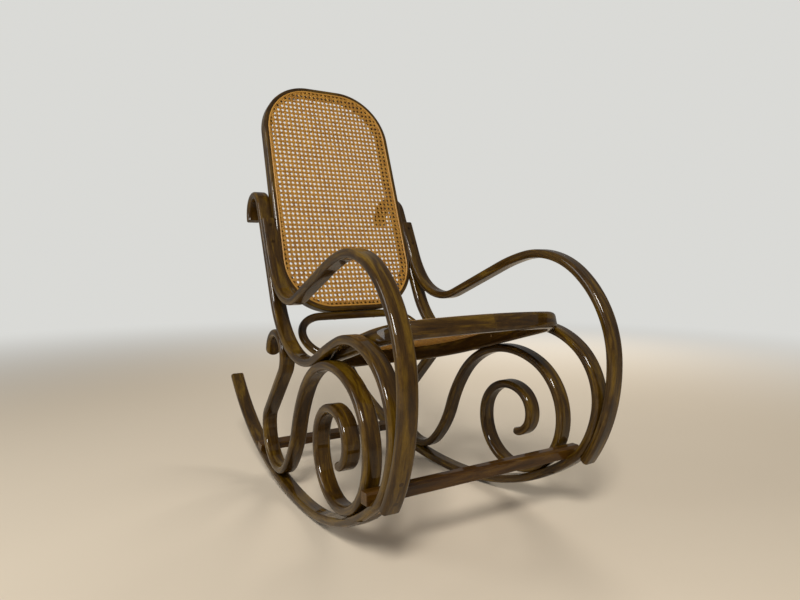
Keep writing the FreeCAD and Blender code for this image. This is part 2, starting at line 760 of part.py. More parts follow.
def rod_screws(name, length_name, rod_data, count, side):
    """Screws in the side plane, driven out of a rod to its left (1) or right (-1)."""
    screws = []
    for number, distance in enumerate(distances(name, count), start=1):
        point, heading = station(rod_data, distance)
        drive = heading_vector(heading + side * 90)
        start = point - drive * (SIZES["rod_depth"] / 2)
        turn = Rotation(UP, Vector(0, drive.x, drive.y))
        local = Placement(Vector(0, start.x, start.y), turn)
        screws.append(screw(f"{name}_{number}", length_name, side_plane.multiply(local)))
    return screws


def rail_screws(name, length_name, count, reach):
    """Screws driven outward from a rail's inner face into the side member."""
    screws = []
    for number, distance in enumerate(distances(name, count), start=1):
        point = station(SIDE_ROD, distance)[0]
        local = Placement(Vector(reach, point.x, point.y), Rotation(UP, Vector(-1, 0, 0)))
        screws.append(screw(f"{name}_{number}", length_name, side_plane.multiply(local)))
    return screws


def bar_screw(name, length_name, centre, drive):
    """A screw driven through a run of the loop, from the middle of the chair's right half."""
    start = centre - drive * (SIZES["loop_rod_diameter"] / 2)
    start.x = -SIZES["loop_screw_from_middle"]
    return [screw(name, length_name, Placement(start, Rotation(UP, drive)))]


# Screws of the right half, by joint.
arm_top = rod_screws("arm_top", "long_screw", ARM_ROD, 2, 1)
arm_foot = rod_screws("arm_foot", "long_screw", ARM_ROD, 2, 1)
scroll_curl = rod_screws("scroll_curl", "long_screw", SCROLL_ROD, 1, -1)
scroll_foot = rod_screws("scroll_foot", "long_screw", SCROLL_ROD, 1, 1)
scroll_arch = rod_screws("scroll_arch", "long_screw", SCROLL_ROD, 1, -1)
scroll_toe = rod_screws("scroll_toe", "long_screw", SCROLL_ROD, 1, -1)
scarf_joint = rod_screws("scarf_joint", "scarf_screw", RUNNER_ROD, 2, 1)
front_bar_screw = rod_screws("front_bar", "long_screw", SIDE_ROD, 1, -1)
rear_bar_screw = rod_screws("rear_bar", "long_screw", RUNNER_ROD, 1, 1)
seat_side = rail_screws("seat_side", "rail_screw", 3, SIZES["seat_screw_reach"])
back_side = rail_screws("back_side", "rail_screw", 2, SIZES["back_screw_reach"])
back_up = back_place.Rotation.multVec(Vector(0, 1, 0))
seat_forward = seat_place.Rotation.multVec(Vector(0, -1, 0))
loop_top = bar_screw("loop_top", "long_screw", loop_foot + loop_rise, back_up)
loop_seat = bar_screw("loop_seat", "seat_foot_screw", loop_foot, seat_forward)


def with_mirrored(name, screws):
    """Screws of one joint on both sides of the chair, as separate solids."""
    left = [mirror(item.Name + "_left", item) for item in screws]
    return group(name, screws + left)


nodes = {}
groups = {
    "arm_top_screws": arm_top,
    "arm_foot_screws": arm_foot,
    "scroll_curl_screws": scroll_curl,
    "scroll_foot_screws": scroll_foot,
    "scroll_arch_screws": scroll_arch,
    "scroll_toe_screws": scroll_toe,
    "runner_scarf_screws": scarf_joint,
    "front_stretcher_screws": front_bar_screw,
    "rear_stretcher_screws": rear_bar_screw,
    "seat_side_screws": seat_side,
    "back_frame_screws": back_side,
    "loop_top_screws": loop_top,
    "loop_seat_screws": loop_seat,
}
for name, screws in groups.items():
    nodes[name] = with_mirrored(name, screws)

# Each rod is drilled for the screws that pass through it, then mirrored. The scroll is let
# into the side member and the runner where it rests on them, and so is the foot of the arm.
side_drill = group("side_drill", arm_top + arm_foot + scroll_curl + scroll_arch + scroll_toe
                   + scarf_joint + front_bar_screw + seat_side + back_side)
runner_drill = group("runner_drill", scroll_foot + scroll_toe + scarf_joint + rear_bar_screw)
arm_drill = group("arm_drill", arm_top + arm_foot)
scroll_drill = group("scroll_drill", scroll_curl + scroll_foot + scroll_arch + scroll_toe)
side_right = cut("side_member_right", side_scarfed, side_drill)
runner_right = cut("runner_right", runner_worn, runner_drill)
arm_housed = cut("arm_housed", arm_body, side_scarfed)
arm_right = cut("arm_right", arm_housed, arm_drill)
scroll_bed = group("scroll_bed", [side_scarfed, runner_worn])
scroll_housed = cut("scroll_housed", scroll_body, scroll_bed)
scroll_right = cut("scroll_right", scroll_housed, scroll_drill)
for right in (side_right, runner_right, arm_right, scroll_right):
    nodes[right.Name] = right
    left_name = right.Name.replace("right", "left")
    nodes[left_name] = mirror(left_name, right)

# The rails and the stretchers are let in where they meet the rods of both sides.
side_scarfed_left = mirror("side_scarfed_left", side_scarfed)
runner_worn_left = mirror("runner_worn_left", runner_worn)
arm_housed_left = mirror("arm_housed_left", arm_housed)
sides = group("sides", [side_scarfed, side_scarfed_left])
runners = group("runners", [runner_worn, runner_worn_left])
posts = group("posts", [side_scarfed, side_scarfed_left, arm_housed, arm_housed_left])
seat_housed = cut("seat_housed", seat_rail, sides)
back_housed = cut("back_housed", back_rail, posts)
front_housed = cut("front_housed", front_bar, sides)
rear_housed = cut("rear_housed", rear_bar, runners)
seat_drill = group("seat_drill", [nodes["seat_side_screws"], nodes["loop_seat_screws"]])
back_drill = group("back_drill", [nodes["back_frame_screws"], nodes["loop_top_screws"]])
loop_drill = group("loop_drill", [nodes["loop_top_screws"], nodes["loop_seat_screws"]])
nodes["seat_ring"] = cut("seat_ring", seat_housed, seat_drill)
nodes["back_frame"] = cut("back_frame", back_housed, back_drill)
nodes["lumbar_loop"] = cut("lumbar_loop", loop_body, loop_drill)
nodes["front_stretcher"] = cut("front_stretcher", front_housed,
                               nodes["front_stretcher_screws"])
nodes["rear_stretcher"] = cut("rear_stretcher", rear_housed, nodes["rear_stretcher_screws"])
nodes["seat_cane"] = seat_cane
nodes["back_cane"] = back_cane
nodes["seat_spline"] = seat_spline
nodes["back_spline"] = back_spline
doc.recompute()

faults = [item.Name for item in doc.Objects
          if "Invalid" in item.State or "Error" in item.State]
if faults:
    raise ValueError("objects in error: " + ", ".join(faults))
for name, item in nodes.items():
    item.Label = name
    if item.Shape.isNull() or not item.Shape.isValid():
        raise ValueError("bad shape: " + name)
    item.Shape.exportStep(f"parts/{name}.step")
    box_of = item.Shape.BoundBox
    print(f"{name}: {len(item.Shape.Solids)} solids, volume {item.Shape.Volume:.0f},"
          f" x {box_of.XMin:.1f} {box_of.XMax:.1f}, y {box_of.YMin:.1f} {box_of.YMax:.1f},"
          f" z {box_of.ZMin:.1f} {box_of.ZMax:.1f}")
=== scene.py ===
"""Bentwood rocking chair with a caned seat and a caned back, dressed on its frame.

The rods are flat ovals carried along tangent arcs and straights in two upright planes that
toe in to the rear. The seat ring, the back frame, their splines and the loop are rails
carried round a closed ring. The cane is woven strand by strand. Sizes in the bend lists are
in millimetres and degrees; meshes are in metres. +Z is up and the chair faces -Y.
"""
import math

import bpy
import numpy as np
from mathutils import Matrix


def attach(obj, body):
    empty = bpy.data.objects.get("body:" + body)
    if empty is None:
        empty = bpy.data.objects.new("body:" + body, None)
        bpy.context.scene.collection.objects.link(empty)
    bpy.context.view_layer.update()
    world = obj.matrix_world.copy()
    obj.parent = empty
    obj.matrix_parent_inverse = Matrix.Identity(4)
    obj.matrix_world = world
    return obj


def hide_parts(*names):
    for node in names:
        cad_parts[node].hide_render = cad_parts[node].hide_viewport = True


bl_info = {
    "name": "Bentwood Rocking Chair",
    "version": (1, 0, 0),
    "blender": (4, 5, 0),
    "location": "View3D > Sidebar > Rocker",
    "description": "Builds a bentwood rocking chair with a caned seat and back",
    "category": "Add Mesh",
}

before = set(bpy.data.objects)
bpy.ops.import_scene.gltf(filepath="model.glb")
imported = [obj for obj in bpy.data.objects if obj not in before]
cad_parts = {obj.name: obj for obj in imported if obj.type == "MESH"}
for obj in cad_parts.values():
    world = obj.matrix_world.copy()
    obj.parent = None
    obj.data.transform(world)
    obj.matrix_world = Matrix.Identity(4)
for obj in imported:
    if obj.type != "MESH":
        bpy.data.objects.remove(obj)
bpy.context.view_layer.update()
MM = 0.001

# A bend is (radius, turn), positive to the left; a straight run is (STRAIGHT, length).
STRAIGHT = 0
RUNNER = ((570, 13), (670, 20), (1050, 19), (700, 24))
RUNNER_START = (-395.65, 106.99)
RUNNER_HEADING = -33
SIDE_MEMBER = ((570, -19.5), (70, -14), (215, -28), (145, -63), (185, -54), (750, -9),
               (215, 94), (STRAIGHT, 267), (50, -177))
SIDE_START = (-280.15, 49.41)
SIDE_HEADING = 160
ARM = ((STRAIGHT, 105), (250, -16), (135, -73.5), (STRAIGHT, 184), (470, 10.5), (185, 51),
       (250, 48), (375, 37.5))
ARM_START = (200, 686)
ARM_HEADING = 246.5
SCROLL = ((55, 233.5), (STRAIGHT, 169), (50, -38), (95, -141), (280, -26.5), (360, 18.5),
          (205, 78.5), (140, 151.5), (110, 101), (85, 106.5), (60, 79), (45, 88))
SCROLL_START = (172, 330)
SCROLL_HEADING = 81
# Lengths of the scroll's tongues, and the shares of width and depth that reach their tips.
SCROLL_TONGUES = (16, 20)
TIP_WIDTH = 0.25
TIP_DEPTH = 0.55
# The sides, with the factor that mirrors the right one in X, and the shifts of the grain
# from the right side to the left and from strand to strand.
SIDES = (("right", 1), ("left", -1))
LEFT_GRAIN = 400
STRAND_GRAIN = 900
# The scarf between runner and side member: a point on its line and the line's heading.
SCARF_POINT = (-352.80, 81.75)
SCARF_HEADING = 163
SCARF_REACH = 150
# Half of each ring, from the middle of its front or foot to the middle of its far side.
SEAT_HALF = ((820, 11.2), (90, 82.25), (STRAIGHT, 242), (131, 86.55), (STRAIGHT, 86.3))
BACK_HALF = ((STRAIGHT, 62), (140, 91.3), (STRAIGHT, 370), (147, 88.7), (STRAIGHT, 46.6))
LOOP_HALF = ((STRAIGHT, 102), (73.45, 180), (STRAIGHT, 102))
# Where each ring starts, as (y, z), and how far its plane is turned about X.
SEAT_PLACE = (-454, 478, -16.3)
BACK_PLACE = (112, 444, 72.2)
LOOP_PLACE = (9.8, 336.4, 38.98)
# Sections of the rails, as depth and rounding, of the splines and of the bars.
RAIL_WIDTH = 22
SEAT_RAIL = (36, 9)
BACK_RAIL = (32, 6)
BED_ROUNDING = 4
GROOVE = (11, 16, -4.5)
CANE_BED = -1.8
CANE_INSET = 14
LOOP_RADIUS = 10.5
LOOP_FACETS = 24
# Spacing of the sections along a rail and of the points on the cane's outline.
RING_STEP = 4
CANE_STEP = 3
SPLINE_CORNERS = ((11, -4.5), (16, -4.5), (16, 1), (11, 1))
SPLINE_ROUNDINGS = (0, 0, 2.2, 2.2)
FRONT_BAR = ((-11, 12.5 - 5), (-11, -12.5), (11, -12.5), (11, 12.5), (-11 + 5, 12.5))
FRONT_BAR_PLACE = (-419, 150, 0)
FRONT_BAR_LENGTH = 554
REAR_BAR = ((-13, 10 - 2), (-13, -10), (13, -10), (13, 10), (-13 + 2, 10))
REAR_BAR_PLACE = (247.4, 69, 16.8)
REAR_BAR_LENGTH = 460
BAR_ROUNDING = 1.2
BAR_SECTIONS = 40
# How far a strand swings over and under the rest, in thicknesses, and how broad the
# diagonals are, in widths.
PAIR_SWING = 0.5
DIAGONAL_SWING = 0.9
RISING_WIDTH = 0.95
FALLING_WIDTH = 1.3
# Screws through the seat ring: distances along the side member, the level of the ring's
# inner face in the side plane, and how far each slot is turned from the last.
SEAT_SCREWS_AT = (640, 721.5, 803)
SEAT_SCREW_LEVEL = 37.7
SLOT_TURN = 50
# Screws whose heads are stopped with stained wax, level with the wood.
STOPPED_HEADS = ("arm_top_screws", "arm_foot_screws")
# The share of the pale backdrop that shows in reflections, and its colour.
MIRRORED_SHARE = 0.25
WALL_COLOUR = (0.70, 0.70, 0.675, 1)
# The floor, in metres: half its side, and where it begins and ends to fade.
FLOOR_COLOUR = (0.62, 0.53, 0.41, 1)
FLOOR_REACH = 9.0
FADE_START = 1.3
FADE_END = 4.5
# Where the lamps point, in metres, and the colour of the warm ones.
LAMP_TARGET = (0, 0, 0.5)
LAMP_COLOUR = (1.0, 0.98, 0.95)
# The camera's place in metres, its turns about X and Z in degrees and its lens.
CAMERA_PLACE = (-0.830, -1.410, 0.591)
CAMERA_TILT = 85.98
CAMERA_HEADING = -32.5
CAMERA_LENS = 28.8


def length_setting(name, description, default):
    """A length in metres that the user can change."""
    return bpy.props.FloatProperty(name=name, description=description, default=default,
                                   unit="LENGTH")


def colour_setting(name, description, default):
    """A colour that the user can change."""
    return bpy.props.FloatVectorProperty(name=name, description=description, default=default,
                                         subtype="COLOR", size=3)


def strength_setting(name, description, default):
    """A light's power or strength that the user can change."""
    return bpy.props.FloatProperty(name=name, description=description, default=default,
                                   min=0)


class RodSizes(bpy.types.PropertyGroup):
    """Section of the side rods and the place of their planes."""

    width: length_setting("Width", "Width of a rod across the chair", 0.038)
    depth: length_setting("Depth", "Depth of a rod in its side plane", 0.020)
    edge: length_setting("Edge radius", "Rounding of a rod's long edges", 0.0075)
    spacing: length_setting("Side spacing", "Distance between the side planes at the middle",
                            0.452)
    toe_in: bpy.props.FloatProperty(
        name="Toe-in", description="How far each side plane turns in to the rear",
        default=math.radians(3.45), subtype="ANGLE")
    step: length_setting("Step", "Spacing of the sections along a rod", 0.004)


class CaneSizes(bpy.types.PropertyGroup):
    """The six-way cane weave."""

    pitch: length_setting("Pitch", "Spacing of the pairs of strands", 0.0127)
    strand: length_setting("Strand width", "Width of one strand", 0.0028)
    pair: length_setting("Pair spacing", "Distance between the two strands of a pair", 0.0029)
    thickness: length_setting("Strand thickness", "Thickness of one strand", 0.0008)


class Finishes(bpy.types.PropertyGroup):
    """Colours of the wood, the cane and the screws."""

    stain_dark: colour_setting("Dark stain", "Darkest colour of the stained beech",
                               (0.011, 0.0043, 0.0005))
    stain_middle: colour_setting("Middle stain", "Red-brown between dark and light stain",
                                 (0.043, 0.0200, 0.0015))
    stain_light: colour_setting("Light stain", "Lightest colour of the stained beech",
                                (0.150, 0.084, 0.0050))
    bar_dark: colour_setting("Dark bar", "Darkest colour of the stretchers",
                             (0.016, 0.0055, 0.0006))
    bar_middle: colour_setting("Middle bar", "Middle colour of the stretchers",
                               (0.054, 0.0220, 0.0020))
    bar_light: colour_setting("Light bar", "Lightest colour of the stretchers",
                              (0.115, 0.055, 0.0055))
    worn: colour_setting("Worn edge", "Colour where the stain has rubbed thin",
                         (0.200, 0.110, 0.018))
    cane_dark: colour_setting("Dark cane", "Darker colour of the cane strands",
                              (0.260, 0.105, 0.014))
    cane_light: colour_setting("Light cane", "Lighter colour of the cane strands",
                               (0.640, 0.340, 0.058))
    spline_dark: colour_setting("Dark spline", "Darker colour of the splines",
                                (0.380, 0.185, 0.032))
    spline_light: colour_setting("Light spline", "Lighter colour of the splines",
                                 (0.680, 0.400, 0.095))
    screw: colour_setting("Screw", "Colour of the screws", (0.420, 0.290, 0.150))


class StageSettings(bpy.types.PropertyGroup):
    """How strong the stage's lights are."""

    key: strength_setting("Key light", "Power of the large front light in watts", 132.0)
    window: strength_setting("Window light", "Power of the tall side light in watts", 38.0)
    rear: strength_setting("Rear light", "Power of the light behind the chair in watts", 85.0)
    sky: strength_setting("Room light", "Strength of the light from all round", 0.12)


def unit(angle):
    """Unit vectors (cosine, sine) along angles."""
    return np.stack([np.cos(angle), np.sin(angle)], axis=-1)


def run_length(bends):
    """Length of a row of bends: a straight's own, or radius times turn for an arc."""
    return sum(size if radius == STRAIGHT else radius * abs(math.radians(size))
               for radius, size in bends)


def trace(bends, start, heading, distances):
    """Points and headings at distances along a row of tangent arcs and straights.

    On a straight the point is its start plus the distance times the heading. On an arc the
    heading turns by distance over radius, and the point stands a radius to the side of the
    centre, square to the heading.
    """
    points = np.zeros((len(distances), 2))
    headings = np.zeros(len(distances))
    point = np.array(start, float)
    angle = math.radians(heading)
    passed = 0.0
    for radius, size in bends:
        length = run_length([(radius, size)])
        here = distances >= passed - 1e-9
        ahead = distances[here] - passed
        if radius == STRAIGHT:
            points[here] = point + ahead[:, None] * unit(angle)
            headings[here] = angle
            point = point + length * unit(angle)
        else:
            side = math.copysign(1, size)
            centre = point + side * radius * unit(angle + math.pi / 2)
            headings[here] = angle + side * ahead / radius
            points[here] = centre - side * radius * unit(headings[here] + math.pi / 2)
            angle += math.radians(size)
            point = centre - side * radius * unit(angle + math.pi / 2)
        passed += length
    return points, headings


def quarter(steps):
    """Angles from 0 to a quarter turn."""
    return np.linspace(0, math.pi / 2, steps)


def stations(length, step, roundings):
    """Distances along a rod and how far its section is drawn in at each.

    Near an end with rounding r the distance from the end is r (1 - sin a) and the section
    is drawn in by r (1 - cos a), for a from 0 to a quarter turn.
    """
    start_round, end_round = roundings
    angles = quarter(7)
    middle = np.linspace(start_round, length - end_round,
                         int((length - start_round - end_round) / step))[1:-1]
    near = start_round * (1 - np.sin(angles))
    far = length - end_round * (1 - np.sin(angles))
    distances = np.concatenate([near[::-1], middle, far])
    inset = np.concatenate([start_round * (1 - np.cos(angles))[::-1], np.zeros(len(middle)),
                            end_round * (1 - np.cos(angles))])
    return distances, inset


def oval(width, depth, radius, inset):
    """A flat oval at each station: the four corner centres plus (radius - inset) times the
    directions of a full turn. Also how near each point is to the middle of a corner."""
    turn = quarter(5)
    angles = (turn[None, :] + np.arange(4)[:, None] * math.pi / 2).ravel()
    signs = np.repeat(np.array([[1, 1], [-1, 1], [-1, -1], [1, -1]]), len(turn), axis=0)
    centres = signs * np.array([width / 2 - radius, depth / 2 - radius])
    outline = centres + (radius - inset)[:, None, None] * unit(angles)
    return outline, np.tile(np.sin(2 * turn), 4)


def rounded(corners, roundings):
    """A closed outline through corners. At a corner c with rounding r between unit
    directions a and b the points are c - a r (1 - sin t) + b r (1 - cos t), for t from 0
    to a quarter turn. Also how near each point is to the middle of a rounding."""
    corners = np.array(corners, float)
    ahead = np.roll(corners, -1, axis=0) - corners
    ahead /= np.linalg.norm(ahead, axis=1)[:, None]
    outline, edge = [], []
    for corner, incoming, outgoing, radius in zip(corners, np.roll(ahead, 1, axis=0), ahead,
                                                  roundings):
        turn = quarter(5 if radius else 1)[:, None]
        outline.append(corner - incoming * radius * (1 - np.sin(turn))
                       + outgoing * radius * (1 - np.cos(turn)))
        edge.append(np.sin(2 * turn[:, 0]))
    return np.concatenate(outline), np.concatenate(edge)


def tapered(distances, tongues):
    """Shares of width and depth that remain near the ends of a rod with tongues: at a
    distance d from an end with tongue t the width is sqrt(1 - (1 - d / t)^2), and at least
    the tip's, and the depth falls evenly to the tip's."""
    shares = np.ones((len(distances), 2))
    for tongue, reach in zip(tongues, (distances, distances[-1] - distances)):
        if tongue:
            gap = np.clip(1 - reach / tongue, 0, 1)
            shares[:, 0] *= np.maximum(np.sqrt(1 - gap ** 2), TIP_WIDTH)
            shares[:, 1] *= 1 - (1 - TIP_DEPTH) * gap
    return shares


def rod_grid(bends, start, heading, roundings, sizes, tongues=(0, 0)):
    """Sections along a rod, as (lateral, y, z) in its side plane: the centre line plus the
    oval's lateral part and its depth part along the left-hand normal. Also the grain
    coordinates (distance, lateral, depth), the edge values and the plane normals."""
    distances, inset = stations(run_length(bends), sizes.step / MM, roundings)
    points, headings = trace(bends, start, heading, distances)
    outline, edge = oval(sizes.width / MM, sizes.depth / MM, sizes.edge / MM, inset)
    outline = outline * tapered(distances, tongues)[:, None, :]
    normals = unit(headings + math.pi / 2)
    in_plane = points[:, None, :] + outline[..., 1:] * normals[:, None, :]
    grid = np.concatenate([outline[..., :1], in_plane], axis=-1)
    along = np.concatenate([np.broadcast_to(distances[:, None, None], outline.shape[:2]
                                            + (1,)), outline], axis=-1)
    return grid, along, np.broadcast_to(edge, outline.shape[:2]), normals


def scarfed(grid, along, edge, normals, keep):
    """A rod cut on the scarf line; keep is 1 for the part above it and -1 for the part
    below. A point beyond the line moves back to it along the rod's own normal."""
    angle = math.radians(SCARF_HEADING)
    square = unit(angle - math.pi / 2) * keep
    height = (grid[..., 1:] - np.array(SCARF_POINT)) @ square
    near = along[..., 0] < SCARF_REACH
    height = np.where(near, np.minimum(height, 0), 0)
    shift = -height / (normals @ square)[:, None]
    moved = grid.copy()
    moved[..., 1:] += shift[..., None] * normals[:, None, :]
    kept = ~near[:, 0] | (((grid[..., 1:] - np.array(SCARF_POINT)) @ square).max(axis=1) > 0)
    return moved[kept], along[kept], edge[kept]


def in_side_plane(grid, sizes):
    """Side plane to room: turned in by the toe-in about Z and moved half the spacing to
    the right of the sitter."""
    angle = -sizes.toe_in
    turned = np.empty_like(grid)
    turned[..., 0] = (grid[..., 0] * math.cos(angle) - grid[..., 1] * math.sin(angle)
                      - sizes.spacing / MM / 2)
    turned[..., 1] = grid[..., 0] * math.sin(angle) + grid[..., 1] * math.cos(angle)
    turned[..., 2] = grid[..., 2]
    return turned


def in_place(grid, place):
    """Ring or bar to room: turned about X by the place's angle and moved to its y and z."""
    y, z, slope = place
    angle = math.radians(slope)
    turned = np.empty_like(grid)
    turned[..., 0] = grid[..., 0]
    turned[..., 1] = y + grid[..., 1] * math.cos(angle) - grid[..., 2] * math.sin(angle)
    turned[..., 2] = z + grid[..., 1] * math.sin(angle) + grid[..., 2] * math.cos(angle)
    return turned


def ring_line(half, offset, step):
    """Closed line of a ring at an offset inside its path, with the inward normals and the
    distances: half of it is traced and the other half is its mirror image in X."""
    length = run_length(half)
    distances = np.linspace(0, length, int(length / step) + 1)
    points, headings = trace(half, (0, 0), 0, distances)
    inward = unit(headings + math.pi / 2)
    points = points + inward * offset
    points[[0, -1], 0] = 0
    mirrored = np.array([-1, 1])
    line = np.concatenate([points, points[-2:0:-1] * mirrored])
    normals = np.concatenate([inward, inward[-2:0:-1] * mirrored])
    return line, normals, np.concatenate([distances, 2 * length - distances[-2:0:-1]])


def hoop_grid(half, outline, edge, step):
    """A rail carried round a ring: the line plus the outline's first coordinate along the
    inward normal and its second along the ring's axis."""
    line, normals, distances = ring_line(half, 0, step)
    flat = line[:, None, :] + outline[None, :, :1] * normals[:, None, :]
    shape = flat.shape[:2] + (1,)
    height = np.broadcast_to(outline[None, :, 1:], shape)
    along = np.concatenate([np.broadcast_to(distances[:, None, None], shape),
                            np.broadcast_to(outline, flat.shape)], axis=-1)
    return np.concatenate([flat, height], axis=-1), along, np.broadcast_to(edge, shape[:2])


def rail_outline(depth, rounding):
    """Outline of a rail with its outer edges rounded, the groove for the spline and the
    lowered bed for the cane."""
    start, end, floor = GROOVE
    corners = ((0, 0), (0, -depth), (RAIL_WIDTH, -depth), (RAIL_WIDTH, CANE_BED),
               (end, CANE_BED), (end, floor), (start, floor), (start, 0))
    return rounded(corners, (rounding, rounding, BED_ROUNDING, 0, 0, 0, 0, 0))


def add_object(name, points, faces, attributes):
    """A mesh object from points in millimetres, faces and values on its points."""
    mesh = bpy.data.meshes.new(name)
    mesh.from_pydata((points.reshape(-1, 3) * MM).tolist(), [], faces)
    for label, values in attributes.items():
        vector = values.ndim > 1 and values.shape[-1] == 3
        kind, slot_name = ("FLOAT_VECTOR", "vector") if vector else ("FLOAT", "value")
        layer = mesh.attributes.new(label, kind, "POINT")
        layer.data.foreach_set(slot_name, np.ascontiguousarray(values, np.float32).ravel())
    mesh.polygons.foreach_set("use_smooth", np.ones(len(mesh.polygons), bool))
    mesh.update()
    made = bpy.data.objects.new(name, mesh)
    bpy.context.scene.collection.objects.link(made)
    return made


def skin(name, grid, along, edge, closed=False):
    """A mesh over sections of equal point counts: four-sided faces between neighbours, and
    a flat cap on each end unless the row of sections is closed. The faces are turned so
    that they point away from the middle of their section."""
    rows, count = grid.shape[:2]
    index = np.arange(rows * count).reshape(rows, count)
    below = index if closed else index[:-1]
    above = np.roll(index, -1, axis=0) if closed else index[1:]
    quads = np.stack([below, np.roll(below, -1, 1), np.roll(above, -1, 1), above], axis=-1)
    flat = grid.reshape(-1, 3)
    corner = flat[quads]
    facing = np.cross(corner[..., 1, :] - corner[..., 0, :],
                      corner[..., 3, :] - corner[..., 0, :])
    outward = corner[..., 0, :] - grid.mean(axis=1)[:len(below), None, :]
    turn = -1 if (facing * outward).sum() < 0 else 1
    faces = quads.reshape(-1, 4)[:, ::turn].tolist()
    if not closed:
        faces += [index[0][::-turn].tolist(), index[-1][::turn].tolist()]
    values = {"along": along * MM, "edge": edge}
    return add_object(name, grid, faces, values)


def finish(piece, material, nodes, crease=35):
    """Shade a piece, give it its material, tie it to the frame and hide the nodes it stands
    in for.
    """
    piece.data.set_sharp_from_angle(angle=math.radians(crease))
    even = piece.modifiers.new("even_shading", "WEIGHTED_NORMAL")
    even.keep_sharp = True
    piece.data.materials.append(material)
    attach(piece, "root")
    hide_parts(*nodes)


def pair_of_rods(name, grid, along, edge, sizes):
    """The rod of the right side and its mirror image on the left."""
    right = in_side_plane(grid, sizes)
    for side, mirror in SIDES:
        placed = right * np.array([mirror, 1, 1])
        shifted = along + np.array([0, 0, 0 if mirror > 0 else LEFT_GRAIN])
        made = skin(f"{name}_{side}_rod", placed, shifted, edge)
        finish(made, rod_wood(), [f"{name}_{side}"])


def clip(outline, origins, direction):
    """Distances at which parallel lines enter and leave a convex outline.

    Each side of the outline holds the points with (p - q) . m >= 0 for its inward normal m.
    A line crosses it at -(o - q) . m / (d . m); the last entry and the first exit count.
    """
    sides = np.roll(outline, -1, axis=0) - outline
    inward = np.stack([-sides[:, 1], sides[:, 0]], axis=-1)
    gap = ((origins[:, None] - outline[None]) * inward[None]).sum(axis=-1)
    slope = inward @ direction
    level = np.abs(slope) < 1e-9
    cross = -gap / np.where(level, 1, slope)
    enter = np.where(slope > 0, cross, -np.inf)
    leave = np.where(slope < 0, cross, np.inf)
    enter = np.where(level[None], -np.inf, enter)
    leave = np.where(level[None], np.inf, leave)
    return enter.max(axis=1), leave.min(axis=1)


def strands(name, outline, offsets, heading, places, wave, width, thickness, level, place):
    """A family of parallel cane strands inside an outline.

    Strand number i is the line at offsets[i] from the origin, square to the heading. Along
    it the height is wave(i, point), and its section is a lens: the half width to each side
    and half the thickness above and below. The strand has a section at each of the places
    and ends on the outline; places up to one and a half steps outside are drawn in to it.
    """
    direction = unit(np.array(math.radians(heading)))
    square = unit(np.array(math.radians(heading - 90)))
    origins = offsets[:, None] * square
    enter, leave = clip(outline, origins, direction)
    spare = (places[1] - places[0]) * 1.5
    inside = ((places > enter[:, None] - spare) & (places < leave[:, None] + spare)
              & (leave - enter > spare)[:, None])
    line, column = np.nonzero(inside)
    distance = np.clip(places[column], enter[line], leave[line])
    centre = origins[line] + distance[:, None] * direction
    height = wave(line, centre) + level
    lens = np.array([[-width / 2, 0], [0, thickness / 2], [width / 2, 0],
                     [0, -thickness / 2]])
    flat = centre[:, None, :] + lens[None, :, :1] * square
    rise = height[:, None, None] + lens[None, :, 1:]
    grid = np.concatenate([flat, rise], axis=-1)
    index = np.arange(len(line) * 4).reshape(-1, 4)
    joined = np.nonzero(line[1:] == line[:-1])[0]
    below, above = index[joined], index[joined + 1]
    quads = np.stack([below, above, np.roll(above, -1, 1), np.roll(below, -1, 1)], axis=-1)
    first = np.nonzero(np.diff(line, prepend=-1))[0]
    last = np.append(first[1:] - 1, len(line) - 1)
    faces = np.concatenate([quads.reshape(-1, 4), index[first], index[last][:, ::-1]])
    chance = np.random.default_rng(len(offsets)).random(len(offsets))
    shade = np.repeat(chance[line][:, None], 4, axis=1)
    along = np.concatenate([
        (distance + chance[line] * STRAND_GRAIN)[:, None].repeat(4, axis=1)[..., None],
        np.broadcast_to(lens, (len(line), 4, 2))], axis=-1)
    return add_object(name, in_place(grid, place), faces.tolist(),
                      {"along": along * MM, "strand": shade})


